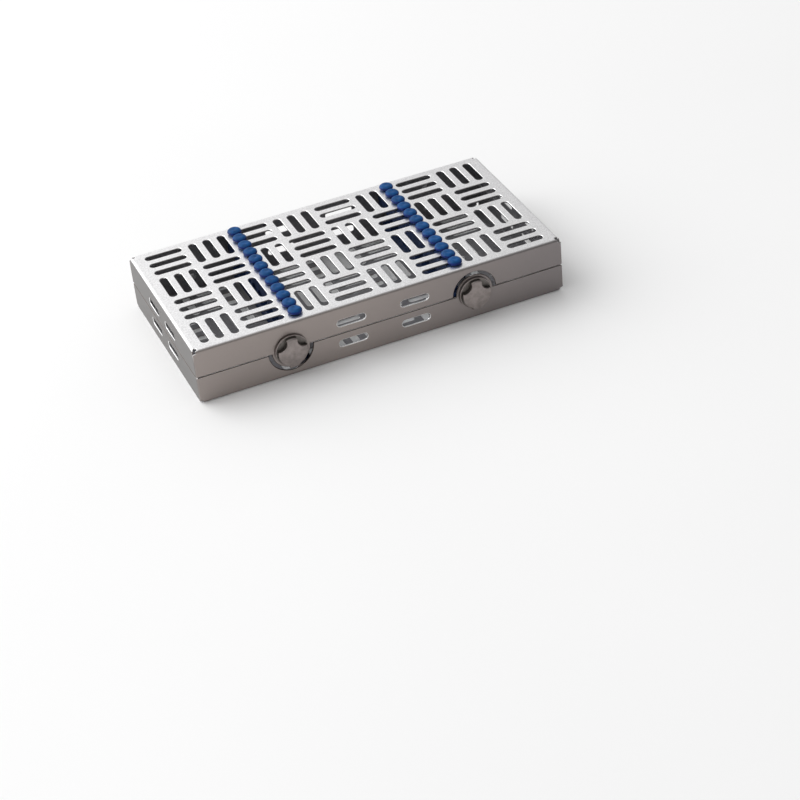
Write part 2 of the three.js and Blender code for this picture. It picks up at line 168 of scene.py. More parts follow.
def softened(corners, radius, closed=True, steps=4):
    """The same line with each sharp corner rounded."""
    points = []
    for number, corner in enumerate(corners):
        into = corner - corners[number - 1]
        away = corners[(number + 1) % len(corners)] - corner
        loose = not closed and number in (0, len(corners) - 1)
        if loose or into.angle(away) < math.radians(sharp_turn):
            points.append(corner)
            continue
        cut = min(radius, into.length / 2, away.length / 2)
        start, end = corner - cut * into.normalized(), corner + cut * away.normalized()
        for step in range(steps + 1):
            share = step / steps
            points.append(start.lerp(corner, share).lerp(corner.lerp(end, share), share))
    return points


def points_of(*pairs):
    """Plain pairs as points."""
    return [Vector(pair) for pair in pairs]


def square(half):
    """A square about the middle."""
    return points_of((-half, -half), (half, -half), (half, half), (-half, half))


print("a softened square has", len(softened(square(1), 0.5)), "points")

# %% [markdown]
# ## Forms
# A form is three lists: places, the way that the surface faces at each place, and faces.
# Keeping the facing with the place matters on sheet steel. A large flat face reflects like
# a mirror, and if Blender were left to average it with the narrow rounded edge beside it,
# the whole face would look dented. Here the facing is worked out exactly and handed over.

# %% Place, join and finish forms
def placed(form, matrix):
    """A form moved and turned as a whole."""
    places, facings, faces = form
    turn = matrix.to_3x3()
    return [matrix @ place for place in places], [turn @ facing for facing in facings], faces


def raised(form, height):
    """A form moved along z."""
    return placed(form, Matrix.Translation((0, 0, height)))


def joined(*forms):
    """Several forms as one."""
    places, facings, faces = [], [], []
    for form in forms:
        first = len(places)
        places += form[0]
        facings += form[1]
        faces += [tuple(first + corner for corner in face) for face in form[2]]
    return places, facings, faces


def finished(name, form, body, slot_name, material, *nodes):
    """A piece of the case: its mesh, the body that it rides on and the nodes that it stands for."""
    mesh = bpy.data.meshes.new(name)
    mesh.from_pydata([place * metres for place in form[0]], [], form[2])
    mesh.shade_smooth()
    mesh.normals_split_custom_set_from_vertices([facing.normalized() for facing in form[1]])
    mesh.materials.append(material)
    piece = bpy.data.objects.new(name, mesh)
    bpy.context.collection.objects.link(piece)
    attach(piece, body)
    if nodes:
        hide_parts(*nodes)
    return piece


print("a form is places, facings and faces")

# %% [markdown]
# ## Cut sheet
# Most of the case is flat stock: the trays before they are bent, the cams, the washers and
# the hinge leaves. One function cuts them all. It fills the outline with triangles but
# leaves the holes open, and then runs a small rounded edge round every border. Punched
# edges are tumbled smooth on the real case, and that round is what catches the light.

# %% Find the way out of the sheet at each point of a border
mitre_limit = 0.2


def way_out(before, here, after):
    """Square to the border, out of the material, and long enough to shift both sides alike."""
    into, away = (here - before).normalized(), (after - here).normalized()
    into_side, away_side = Vector((into.y, -into.x)), Vector((away.y, -away.x))
    return (into_side + away_side) / max(1 + into_side.dot(away_side), mitre_limit)


def inset(loop, distance):
    """A loop drawn in towards the material on its left."""
    count = len(loop)
    return [
        here - distance * way_out(loop[number - 1], here, loop[(number + 1) % count])
        for number, here in enumerate(loop)
    ]


print("a 2 mm square drawn in by 0.5:", inset(square(1), 0.5)[0])

# %% Fill an outline with triangles and leave its holes open
inside_only = 1
same_place = 1e-5


def filled(outline, holes, creases):
    """Points and triangles inside an outline. Creases are lines that the triangles respect."""
    loops = [outline, *holes]
    points = [point for loop in loops for point in loop]
    owners = [number for number, loop in enumerate(loops) for _ in loop]
    lines = []
    for loop in loops:
        first = len(lines)
        lines += [(first + step, first + (step + 1) % len(loop)) for step in range(len(loop))]
    for crease in creases:
        lines.append((len(points), len(points) + 1))
        points += crease
        owners += [0, 0]
    places, _, triangles, sources, _, _ = delaunay_2d_cdt(
        points, lines, [], inside_only, same_place)
    homes = [{owners[source] for source in group} for group in sources]
    kept = []
    for triangle in triangles:
        shared = set.intersection(*[homes[corner] for corner in triangle])
        if not shared - {0}:
            kept.append(triangle)
    used = sorted({corner for triangle in kept for corner in triangle})
    number = {old: new for new, old in enumerate(used)}
    triangles = [tuple(number[corner] for corner in triangle) for triangle in kept]
    return [places[old] for old in used], triangles


print("triangles in a ring:", len(filled(circle(0, 0, 2, 8), [circle(0, 0, 1, 8)[::-1]], [])[1]))

# %% Cut a sheet with rounded edges
edge_steps = 3


def walls(after, row, next_row):
    """The faces between two rows of places that go round the same borders."""
    return [(row[end], row[start], next_row[start], next_row[end])
            for start, end in after.items()]


def cut_sheet(outline, holes, thickness, edge, creases=()):
    """A sheet with its upper face at height 0. The outline and the holes run anticlockwise."""
    holes = [inset(hole[::-1], edge) for hole in holes]
    flat, triangles = filled(inset(outline, edge), holes, creases)
    upper = [Vector((point.x, point.y, 0)) for point in flat]
    lower = [Vector((point.x, point.y, -thickness)) for point in flat]
    places = upper + lower
    facings = [Vector((0, 0, 1))] * len(flat) + [Vector((0, 0, -1))] * len(flat)
    faces = triangles + [tuple(len(flat) + corner for corner in face[::-1]) for face in triangles]

    steps = {(face[turn], face[(turn + 1) % 3]) for face in triangles for turn in range(3)}
    after = {start: end for start, end in steps if (end, start) not in steps}
    before = {end: start for start, end in after.items()}
    ways = {here: way_out(flat[before[here]], flat[here], flat[after[here]]) for here in after}
    turns = [math.radians(90 * step / edge_steps) for step in range(1, edge_steps + 1)]
    levels = [(turn, edge * (math.cos(turn) - 1)) for turn in turns]
    levels += [(math.pi - turn, -thickness - height) for turn, height in reversed(levels)]
    row = {here: here for here in after}
    for turn, height in levels:
        next_row = {}
        for here, way in ways.items():
            next_row[here] = len(places)
            rim = flat[here] + edge * math.sin(turn) * way
            side = way.normalized() * math.sin(turn)
            places.append(Vector((rim.x, rim.y, height)))
            facings.append(Vector((side.x, side.y, math.cos(turn))))
        faces += walls(after, row, next_row)
        row = next_row
    faces += walls(after, row, {here: len(flat) + here for here in after})
    return places, facings, faces


washer_try = cut_sheet(circle(0, 0, 5), [circle(0, 0, 3)], 1, 0.2)
print("a washer has", len(washer_try[0]), "places and", len(washer_try[2]), "faces")

# %% [markdown]
# ## Bending a strip
# A bent strip is a cut sheet whose length follows a line seen from the side. Hinge leaves
# are made so on the real case, with the fingers rolled round the pin. Doing the same here
# gives the roll its even thickness and its rounded edges with no extra work.

# %% Lay a cut sheet along a path
def lengths_along(path):
    """How far along a path each of its points lies."""
    lengths = [0]
    for start, end in zip(path, path[1:]):
        lengths.append(lengths[-1] + (end - start).length)
    return lengths


def bent(form, path):
    """A form whose y runs along a path of (y, z) points. Its upper face lies on the path."""
    lengths = lengths_along(path)
    ways = [(path[min(spot + 1, len(path) - 1)] - path[max(spot - 1, 0)]).normalized()
            for spot in range(len(path))]
    places, facings = [], []
    for place, facing in zip(form[0], form[1]):
        reach = min(max(place.y, 0), lengths[-1])
        spot = max(number for number in range(len(path) - 1) if lengths[number] <= reach)
        share = (reach - lengths[spot]) / (lengths[spot + 1] - lengths[spot])
        here = path[spot].lerp(path[spot + 1], share)
        course = ways[spot].lerp(ways[spot + 1], share).normalized()
        over = Vector((-course.y, course.x))
        spot_place = here + over * place.z
        turned_way = course * facing.y + over * facing.z
        places.append(Vector((place.x, spot_place.x, spot_place.y)))
        facings.append(Vector((facing.x, turned_way.x, turned_way.y)))
    return places, facings, form[2]


strip_try = bent(cut_sheet(points_of((0, 0), (2, 0), (2, 9), (0, 9)), [], 1, 0.1),
                 arc(0, 0, 6, 180, 90))
print("a bent strip reaches z", round(max(place.z for place in strip_try[0]), 2))

# %% [markdown]
# ## Turned and cast pieces
# Rivets, pins and the round silicone heads are turned: half of their outline is swept round
# an axis. A casting such as the knob isn't round, but it can be built up in the same way,
# as rings that follow each other from the foot to the top. So one function skins a stack
# of rings, and turning is the case where every ring is a circle.

# %% Skin a stack of rings
tiny = 1e-6


def ringed(rows):
    """A closed skin over rings that run anticlockwise, from a point below to a point above."""
    places, facings, faces, numbers = [], [], [], []
    for level, row in enumerate(rows):
        numbers.append(list(range(len(places), len(places) + len(row))))
        places += row
        if len(row) == 1:
            facings.append(Vector((0, 0, 1 if level else -1)))
            continue
        below, above = rows[level - 1], rows[level + 1]
        for spot in range(len(row)):
            onward = row[(spot + 1) % len(row)] - row[spot - 1]
            upward = above[spot % len(above)] - below[spot % len(below)]
            facings.append(onward.cross(upward))
    for low, high in zip(numbers, numbers[1:]):
        for spot in range(max(len(low), len(high))):
            ring = (low[spot % len(low)], low[(spot + 1) % len(low)],
                    high[(spot + 1) % len(high)], high[spot % len(high)])
            faces.append(tuple(dict.fromkeys(ring)))
    return places, facings, faces


def turned(profile, rounding, sides=48):
    """A form about z from (radius, height) points, from axis to axis, its corners rounded."""
    rows = []
    for radius, height in softened(profile, rounding, closed=False):
        ways = circle(0, 0, 1, sides) if radius > tiny else [Vector((0, 0))]
        rows.append([Vector((way.x * radius, way.y * radius, height)) for way in ways])
    return ringed(rows)


pin_try = turned(points_of((0, 0), (1, 0), (1, 4), (0, 4)), 0.2)
print("a plain pin has", len(pin_try[2]), "faces")

# %% [markdown]
# ## Finishes
# Steel has no colour of its own to speak of. What the eye reads is how sharply it mirrors
# the room, and how that changes over a fraction of a millimetre. So each steel here is a
# metal shader whose roughness, tone and tiny relief come from noise at the scale of the
# real grain, in the space of the piece, so that it swings with the lid. A tray has four of
# them: a pale blasted outside whose walls carry painted shade, a dull inside painted dark
# as the shade inside the case, punched edges that shine, and rims painted dark as the
# shade in the gaps where the trays meet.

# %% Build node trees with less typing
noise_low, noise_high = 0.3, 0.7
first_colour, second_colour, mixed_colour = 6, 7, 2


def add(tree, kind, **values):
    """A node with its settings, and its inputs given by name."""
    node = tree.nodes.new("ShaderNode" + kind)
    for name, value in values.items():
        if hasattr(node, name):
            setattr(node, name, value)
        else:
            node.inputs[name.replace("_", " ")].default_value = value
    return node


def spread(tree, value, start, end, at_start=0.0, at_end=1.0):
    """A value between start and end, spread between two others."""
    node = add(tree, "MapRange", From_Min=start, From_Max=end, To_Min=at_start, To_Max=at_end)
    tree.links.new(value, node.inputs["Value"])
    return node.outputs["Result"]


def speckle(tree, scale, low, high, detail=2.0):
    """Noise in the piece's own space, spread between two values."""
    where = add(tree, "TexCoord")
    noise = add(tree, "TexNoise", Scale=scale, Detail=detail)
    tree.links.new(where.outputs["Object"], noise.inputs["Vector"])
    return spread(tree, noise.outputs["Fac"], noise_low, noise_high, low, high)


def along(tree, output, axis):
    """One coordinate of a place, a facing or a direction."""
    where = add(tree, "TexCoord")
    split = add(tree, "SeparateXYZ")
    tree.links.new(where.outputs[output], split.inputs["Vector"])
    return split.outputs[axis]


def worked_out(tree, operation, *values):
    """The sum, the product or the size of the outputs of other nodes."""
    node = add(tree, "Math", operation=operation)
    for value, socket in zip(values, node.inputs):
        tree.links.new(value, socket)
    return node.outputs["Value"]


def start_finish(name, colour, metallic):
    """A new material, its tree and its main shader."""
    material = bpy.data.materials.new(name)
    material.use_nodes = True
    shader = material.node_tree.nodes["Principled BSDF"]
    shader.inputs["Base Color"].default_value = (*colour, 1)
    shader.inputs["Metallic"].default_value = metallic
    return material, material.node_tree, shader


def feed(tree, source, socket):
    """Give a socket a plain value or colour, or the output of another node."""
    if isinstance(source, bpy.types.NodeSocket):
        tree.links.new(source, socket)
    else:
        socket.default_value = (*source, 1) if isinstance(source, tuple) else source


def blend(tree, share, first, second, blend_type="MIX"):
    """Two colours mixed, each of them plain or the output of another node."""
    mixed = add(tree, "Mix", data_type="RGBA", blend_type=blend_type)
    feed(tree, share, mixed.inputs["Factor"])
    feed(tree, first, mixed.inputs[first_colour])
    feed(tree, second, mixed.inputs[second_colour])
    return mixed.outputs[mixed_colour]


def tone(tree, shader, colour, lightness):
    """The base colour times a lightness that varies over the surface."""
    tree.links.new(blend(tree, 1, colour, lightness, "MULTIPLY"), shader.inputs["Base Color"])


def roughen(tree, shader, *grain):
    """A roughness that varies over the surface."""
    tree.links.new(speckle(tree, *grain), shader.inputs["Roughness"])


def relief(tree, shader, scale, strength, depth, detail=2.0):
    """Fine relief from noise, as deep as depth in metres."""
    bump = add(tree, "Bump", Strength=strength, Distance=depth)
    tree.links.new(speckle(tree, scale, 0, 1, detail), bump.inputs["Height"])
    tree.links.new(bump.outputs["Normal"], shader.inputs["Normal"])


# %% Satin sheet steel for the trays
# Painted shade: the end walls and the long walls get colours far darker than the top, standing in
# for the light that falls on the top and not on the walls. The long walls are painted warmer on the
# left and darker towards the right end.
top_colour = (0.885, 0.88, 0.885)
end_wall_shade_colour = (0.22, 0.212, 0.208)
long_wall_left_shade = (0.362, 0.319, 0.300)
long_wall_right_shade = (0.254, 0.231, 0.230)
# Painted shade: the inside of the case gets this dark colour for the shade that falls inside it.
inner_shade_colour = (0.30, 0.295, 0.31)
edge_colour = (0.97, 0.97, 0.97)
# Painted shade: the rims at the parting line and round the latch notch get this dark colour for the
# shade in those gaps.
rim_shade_colour = (0.15, 0.128, 0.118)
wall_grain = (0.98, 0.98, 0.98)
wall_dullness = (0.46, 0.46, 0.46)
slanted, square_on = 0.35, 0.9
shade_ramp_start, shade_ramp_end = -0.02, 0.1


def squarely(tree, axis):
    """How squarely the surface faces along an axis, from 0 to 1."""
    size = worked_out(tree, "ABSOLUTE", along(tree, "Normal", axis))
    return spread(tree, size, slanted, square_on)


def outer_colour_with_painted_shade(tree):
    """One colour for the broad faces, and painted shade on the walls: one darker colour for the end
    walls, and two along the long walls, darker towards the right.
    """
    rightward = spread(tree, along(tree, "Object", "X"), shade_ramp_start, shade_ramp_end)
    long_wall_shade = blend(tree, rightward, long_wall_left_shade, long_wall_right_shade)
    broad = blend(tree, squarely(tree, "Z"), end_wall_shade_colour, top_colour)
    return blend(tree, squarely(tree, "Y"), broad, long_wall_shade)


def tray_finish():
    """Blasted on the broad faces, and smoother on the long walls, which carry painted shade: darker
    and warmer, and darker towards the right.
    """
    material, tree, shader = start_finish("satin_sheet_steel", top_colour, 1)
    blasted = speckle(tree, 1500, 0.84, 1.10, 1.0)
    tone(tree, shader, outer_colour_with_painted_shade(tree), blend(tree, squarely(tree, "Z"), wall_grain, blasted))
    satin = speckle(tree, 900, 0.30, 0.38)
    tree.links.new(blend(tree, squarely(tree, "Z"), wall_dullness, satin),
                   shader.inputs["Roughness"])
    relief(tree, shader, 2000, 0.15, 0.00003)
    return material


def inner_finish_painted_shade():
    """The inside as it left the rolling mill, duller than the outside, and painted dark as the
    shade inside the case.
    """
    material, tree, shader = start_finish("mill_finish_painted_shade", inner_shade_colour, 0.5)
    tone(tree, shader, inner_shade_colour, speckle(tree, 700, 0.9, 1.1))
    roughen(tree, shader, 500, 0.5, 0.64)
    return material


def edge_finish(name, colour, low, high):
    """Edges of the sheet: tumbled until they shine, or painted dark as the shade in the gaps where
    the trays meet and round the latch notch.
    """
    material, tree, shader = start_finish(name, colour, 1)
    roughen(tree, shader, 900, low, high)
    return material


satin_sheet, shaded_mill_inside = tray_finish(), inner_finish_painted_shade()
tumbled_edge = edge_finish("tumbled_edge", edge_colour, 0.16, 0.26)
shaded_rim = edge_finish("shaded_rim", rim_shade_colour, 0.45, 0.55)
print("made", satin_sheet.name, shaded_mill_inside.name, tumbled_edge.name, shaded_rim.name)

# %% Cast steel, bright steel and silicone
cast_colour = (0.305, 0.268, 0.256)
bright_colour = (0.60, 0.595, 0.60)
leaf_colour = (0.40, 0.385, 0.38)
# Painted highlight and painted shade: the heads are a brighter teal blue where they face up or
# down, and a deeper blue on their sides.
crown_highlight_blue = (0.001, 0.060, 0.205)
flank_shade_blue = (0.008, 0.020, 0.140)
# Painted shade: the combs under the lid and the rails get this dark colour for the shade inside the
# case.
comb_shade_blue = (0.018, 0.036, 0.100)
# Painted shade for the sunk face inside the knob's skirt.
recess_shade_colour = (0.16, 0.146, 0.136)


def cast_finish(name, colour):
    """The soft, slightly mottled skin of a tumbled casting."""
    material, tree, shader = start_finish(name, colour, 1)
    tone(tree, shader, colour, speckle(tree, 420, 0.82, 1.12, 4))
    roughen(tree, shader, 700, 0.34, 0.5)
    relief(tree, shader, 600, 0.35, 0.00006, 4)
    return material


def bright_finish(name, colour):
    """Small stamped and turned parts, brighter than the long walls."""
    material, tree, shader = start_finish(name, colour, 1)
    tone(tree, shader, colour, speckle(tree, 1600, 0.94, 1.04))
    roughen(tree, shader, 1400, 0.26, 0.34)
    relief(tree, shader, 1800, 0.1, 0.00002)
    return material


def silicone_finish(name, lit_top, shaded_side):
    """Smooth moulded silicone with a low shine, with a painted highlight where it faces up or down
    and painted shade on its sides.
    """
    material, tree, shader = start_finish(name, lit_top, 0)
    colour = blend(tree, squarely(tree, "Z"), shaded_side, lit_top)
    tone(tree, shader, colour, speckle(tree, 420, 0.7, 1.3, 3))
    roughen(tree, shader, 500, 0.32, 0.46)
    relief(tree, shader, 420, 0.5, 0.0002, 1)
    shader.inputs["Specular IOR Level"].default_value = 0.16
    return material


tumbled_casting = cast_finish("tumbled_casting", cast_colour)
# The same casting, painted darker as the shade in the knob's recess.
painted_recess_shade = cast_finish("painted_recess_shade", recess_shade_colour)
bright_steel = bright_finish("bright_steel", bright_colour)
leaf_steel = bright_finish("leaf_steel", leaf_colour)
blue_silicone = silicone_finish("blue_silicone", crown_highlight_blue, flank_shade_blue)
shaded_comb_silicone = silicone_finish("shaded_comb_silicone", comb_shade_blue, comb_shade_blue)
print("made", tumbled_casting.name, bright_steel.name, leaf_steel.name, blue_silicone.name)

# %% [markdown]
# ## The trays
# Both halves of the case are one pressing. It is cut flat as a cross with a flap for each
# wall, punched, and folded up. Modelling it the same way gives what a box with holes
# cannot: real bends of even thickness, round reliefs at the corners where two bends meet,
# and slots whose rounded edges follow the sheet. The base is the same pressing turned over
# about the line from front to back, which is why its latch is on the other side.

# %% Measure the flat blank
bend_x = case_length / 2 - bend_radius
bend_y = case_depth / 2 - bend_radius
bend_line = bend_radius * math.pi / 2
wall_top = parting - parting_gap / 2


def on_wall(bend, height):
    """How far out on the flat blank a height on a folded wall lies."""
    return bend + bend_line + height - bend_radius


blank_x, blank_y = on_wall(bend_x, wall_top), on_wall(bend_y, wall_top)
print("the blank is", round(2 * blank_x, 1), "by", round(2 * blank_y, 1), "mm")

# %% Draw the basket weave
def weave():
    """Groups of three slots that lie along x and along y by turns."""
    slots = []
    for column in range(group_columns):
        for row in range(group_rows):
            x = (column - (group_columns - 1) / 2) * group_pitch
            y = (row - (group_rows - 1) / 2) * group_pitch
            along_y = (column + row) % 2 == 0
            for place in range(slots_in_group):
                step = (place - (slots_in_group - 1) / 2) * slot_pitch
                middle = (x + step, y) if along_y else (x, y + step)
                slots.append(slot(*middle, slot_length, slot_width, 90 if along_y else 0))
    return slots


print("slots in the weave:", len(weave()))

# %% Draw the corner of the blank and its four copies
flap_corner = 0.6
flap_steps = 4
relief_steps = 18
shoulder = 0.5


def blank_corner():
    """From the end flap round the relief hole to the long flap, for the corner at +x +y."""
    seam = case_depth / 2 - sheet - seam_gap
    long_end = case_length / 2
    return [
        *arc(blank_x - flap_corner, seam - flap_corner, flap_corner, 0, 90, flap_steps),
        Vector((bend_x + bend_line + shoulder, seam)),
        Vector((bend_x + bend_line, bend_y)),
        *arc(bend_x, bend_y, relief_radius, 0, -270, relief_steps),
        Vector((bend_x, bend_y + bend_line)),
        Vector((long_end, bend_y + bend_line + shoulder)),
        *arc(long_end - flap_corner, blank_y - flap_corner, flap_corner, 0, 90, flap_steps),
    ]


def mirrored(points, x, y):
    """Points moved to another corner. One mirror alone turns their order round."""
    moved = [Vector((point.x * x, point.y * y)) for point in points]
    return moved if x * y > 0 else moved[::-1]


print("points in a corner:", len(blank_corner()))

# %% Draw the latch tab and its notch, and the other holes in the walls
latch_offset = middle_x("latch_spindle_right")
tab_radius = 10.3
notch_radius = 12.2
tab_hole_radius = 3.2
root_round = 0.7
tab_steps = 48
hinge_offset = middle_x("hinge_pin_right")
rivet_across = 7.6
rivet_drop = 6.8
rivet_hole_radius = 1.25


def front_edge():
    """The long flap's free edge from left to right, with the tab on the left."""
    middle = -on_wall(bend_y, parting)
    tab_lift = math.degrees(math.asin(parting_gap / 2 / tab_radius))
    notch_lift = math.degrees(math.asin(parting_gap / 2 / notch_radius))
    edge = points_of((-latch_offset - 2 * tab_radius, -blank_y))
    edge += arc(-latch_offset, middle, tab_radius, 180 - tab_lift, 360 + tab_lift, tab_steps)
    edge += arc(latch_offset, middle, notch_radius, 180 - notch_lift, notch_lift, tab_steps)
    edge += points_of((latch_offset + 2 * tab_radius, -blank_y))
    return softened(edge, root_round, closed=False)


def wall_holes():
    """Slots in all four walls, the latch's hole and the holes for the hinge rivets."""
    height, size = parting - wall_slot_rise, (wall_slot_length, wall_slot_width)
    holes = [circle(-latch_offset, -on_wall(bend_y, parting), tab_hole_radius)]
    for side in (-1, 1):
        for wall in (-1, 1):
            holes.append(slot(side * front_slot_offset, wall * on_wall(bend_y, height), *size, 0))
            holes.append(slot(wall * on_wall(bend_x, height), side * end_slot_offset, *size, 90))
        for across in (-rivet_across, rivet_across):
            holes.append(circle(side * hinge_offset + across, on_wall(bend_y, parting - rivet_drop),
                                rivet_hole_radius, hole_steps))
    return holes


print("holes in the walls:", len(wall_holes()))

# %% Fold the blank
bend_steps = 8


def creases(edge):
    """Lines along the four bends, fine enough for a smooth fold."""
    lines = []
    for step in range(bend_steps + 1):
        out = bend_line * step / bend_steps
        for side in (-1, 1):
            x, y = side * (bend_x + out), side * (bend_y + out)
            lines.append(points_of((x, edge - bend_y), (x, bend_y - edge)))
            lines.append(points_of((edge - bend_x, y), (bend_x - edge, y)))
    return lines


def folded(form):
    """The blank with its walls bent down and its outer face at height 0."""
    places, facings = [], []
    for place, facing in zip(form[0], form[1]):
        past = (abs(place.x) - bend_x, abs(place.y) - bend_y)
        axis = 1 if past[1] > max(past[0], 0) else 0
        if past[axis] > 0:
            side = math.copysign(1, place[axis])
            turn = min(past[axis] / bend_radius, math.pi / 2)
            reach = bend_radius + place.z
            place, out, rise = place.copy(), side * facing[axis], facing.z
            place[axis] = side * ((bend_x, bend_y)[axis] + reach * math.sin(turn))
            place.z = reach * math.cos(turn) - bend_radius - max(past[axis] - bend_line, 0)
            facing = facing.copy()
            facing[axis] = side * (out * math.cos(turn) + rise * math.sin(turn))
            facing.z = rise * math.cos(turn) - out * math.sin(turn)
        places.append(place)
        facings.append(facing)
    return places, facings, form[2]


print("creases:", len(creases(0)))

# %% Press both trays
tray_edge = 0.3
inside_share = 0.75
flat_facing = 0.985


def pressed_tray():
    """One tray as the lid lies, its top at height 0 and its latch tab front left."""
    corner = blank_corner()
    outline = [*corner, *mirrored(corner, -1, 1), *mirrored(corner, -1, -1),
               *front_edge(), *mirrored(corner, 1, -1)]
    flat = cut_sheet(outline, [*weave(), *wall_holes()], sheet, tray_edge, creases(tray_edge))
    return folded(flat)


def tray_zone(middle, facing):
    """0 for the outside and the folds, 1 for the inside, 2 for bright rims, 3 for rims painted dark
    as shade.
    """
    depths = [half - abs(place) for half, place in
              zip((case_length / 2, case_depth / 2, case_height / 2), middle)]
    if min(depths) > inside_share * sheet:
        return 1
    if max(abs(part) for part in facing) > flat_facing or sorted(depths)[1] < bend_radius:
        return 0
    by_latch = math.hypot(abs(middle.x) - latch_offset, middle.z) < notch_radius + tray_edge
    at_parting = abs(middle.z) < 2 * tray_edge
    # Rims at the parting line and round the latch notch get painted shade.
    if at_parting or (by_latch and middle.y < sheet - case_depth / 2):
        return 3
    return 2


def tray_zones(piece):
    """The tumbled edges and the inside of a tray get finishes of their own, the inside and the rims
    at the gaps painted dark as shade.
    """
    for finish in (shaded_mill_inside, tumbled_edge, shaded_rim):
        piece.data.materials.append(finish)
    for face in piece.data.polygons:
        middle = face.center / metres - Vector((0, 0, parting))
        face.material_index = tray_zone(middle, face.normal)


tray = pressed_tray()
onto_top = Matrix.Translation((0, 0, case_height))
turned_over = Matrix.Rotation(math.pi, 4, "Y")
for body, spot in (("lid", onto_top), ("base", turned_over)):
    pressing = finished(f"{body}_pressing", placed(tray, spot), body, "tray_steel", satin_sheet,
                        f"{body}_tray")
    tray_zones(pressing)
print("faces in one tray:", len(tray[2]))

# %% [markdown]
# ## Silicone
# Two strips hang under the lid and two rails stand on the floor, in line with each other.
# Their grooves hold the instruments between them. Each strip is held by twelve round heads
# that were pulled through the lid's slots, and those heads are the blue beads on top.

# %% Draw the comb that holds the instruments
head_count = group_rows * slots_in_group
groove_radius = 2.9
groove_steps = 12
comb_round = 0.35
finger_round = 0.7
lid_comb_height = 12.0


def comb(node, upright):
    """A comb with its grooves up or down in a node's box, which may hold round heads as well."""
    low, high = extent(node)
    half, height = (high.y - low.y) / 2, min(high.z - low.z, lid_comb_height)
    outline = points_of((-half, 0), (half, 0), (half, height))
    for groove in reversed(range(head_count - 1)):
        middle = (groove - (head_count - 2) / 2) * slot_pitch
        outline += arc(middle, height, groove_radius, 0, -180, groove_steps)
    outline += points_of((-half, height))
    flat = cut_sheet(softened(outline, finger_round), [], high.x - low.x, comb_round)
    out_of_page = Matrix(((0, 0, 1), (1, 0, 0), (0, 1, 0))).to_4x4()
    if upright:
        return placed(flat, Matrix.Translation((high.x, 0, low.z)) @ out_of_page)
    over = Matrix.Rotation(math.pi, 4, "X")
    return placed(flat, Matrix.Translation((high.x, 0, low.z + height)) @ over @ out_of_page)


print("grooves in a comb:", head_count - 1)

# %% Turn the round heads
head_radius = 3.9
head_height = 2.4
head_round = 0.3
neck_radius = 1.5
neck_depth = 2.2
neck_top = 0.1
head_shares = [(0.86, 0), (0.97, 0.2), (1, 0.42), (0.93, 0.68), (0.76, 0.9), (0.52, 1),
               (0.26, 0.95), (0, 0.9)]
head_profile = points_of(
    (0, -neck_depth), (neck_radius, -neck_depth), (neck_radius, neck_top),
    *[(share * head_radius, rise * head_height) for share, rise in head_shares])


def strip_heads(node):
    """Twelve heads in a row over a lid strip, each on its neck."""
    foot = extent(node)[1].z - head_height
    head = turned(head_profile, head_round)
    heads = []
    for place in range(head_count):
        y = (place - (head_count - 1) / 2) * slot_pitch
        heads.append(placed(head, Matrix.Translation((middle_x(node), y, foot))))
    return joined(*heads)


for side in ("left", "right"):
    strip = joined(comb(f"lid_strip_{side}", False), strip_heads(f"lid_strip_{side}"))
    held = finished(f"strip_{side}", strip, "lid", "silicone", blue_silicone, f"lid_strip_{side}")
    # Below the lid the strip takes the comb colour, painted dark as the shade inside the case.
    held.data.materials.append(shaded_comb_silicone)
    for face in held.data.polygons:
        face.material_index = int(face.center.z < (case_height - sheet) * metres)
    rail = comb(f"base_rail_{side}", True)
    finished(f"rail_{side}", rail, "base", "silicone", shaded_comb_silicone, f"base_rail_{side}")
print("heads on each strip:", head_count)

# %% [markdown]
# ## Latches
# Each knob is a casting with a finger grip: a disc with two bites taken out of it, so that a
# prong stands up between them, and a short spur at the foot that shows where it points. The
# outline is a distance from the middle for each direction. Smooth minimum and maximum
# blend the disc, the bites and the spur, as the wax of a casting would.

# %% Draw the grip as a distance for each direction
grip_radius = 8.1
bite_radius = 4.2
bite_across = 7.0
bite_up = 6.3
spur_half = 2.8
spur_reach = 9.0
spur_span = 0.7
grip_blend = 0.7
grip_points = 216


def smooth_low(a, b, width):
    """The smaller of two distances, blended where they are alike."""
    share = max(width - abs(a - b), 0) / width
    return min(a, b) - share * share * width / 4


def grip_reach(angle):
    """How far the grip reaches in a direction, up being a quarter turn."""
    way = Vector((math.cos(angle), math.sin(angle)))
    reach = grip_radius
    for side in (-1, 1):
        bite = Vector((side * bite_across, bite_up))
        ahead = bite.dot(way)
        within = ahead * ahead - bite.length_squared + bite_radius * bite_radius
        if ahead > 0 and within > 0:
            reach = smooth_low(reach, ahead - math.sqrt(within), grip_blend)
    if way.y < -spur_span:
        spur = min(spur_reach / -way.y, spur_half / max(abs(way.x), tiny))
        reach = -smooth_low(-reach, -spur, grip_blend)
    return reach


print("the grip reaches", round(grip_reach(math.pi / 2), 2), "up and",
      round(grip_reach(-math.pi / 2), 2), "down")

# %% Cast the knob
skirt_radius = 9.0
skirt_steps = 96
skirt_thickness = 1.2
grip_thickness = 2.8
grip_round = 0.75
grip_dome = 0.8
round_steps = 6
face_shares = (0.9, 0.75, 0.55, 0.35, 0.15)
skirt_edge = 0.35
small_edge = 0.15
square_round = 0.3
stem_radius = 2.9
square_side = 4.0
skirt_dip = 0.3
skirt_rim = 0.4
screw_hole_radius = 1.35
cam_front = 2.0
cam_back = 3.2


def grip_ring(share, out, drop=0.0, height=None):
    """A ring of the grip, so far out from its rim, at a height or below the domed face."""
    ring = []
    for step in range(grip_points):
        turn = 2 * math.pi * step / grip_points
        rim = grip_reach(turn)
        reach = (rim + out) * share
        face = grip_thickness - grip_dome * (min(reach, rim - grip_round) / grip_radius) ** 2
        ring.append(Vector((reach * math.cos(turn), reach * math.sin(turn),
                            face - drop if height is None else height)))
    return ring


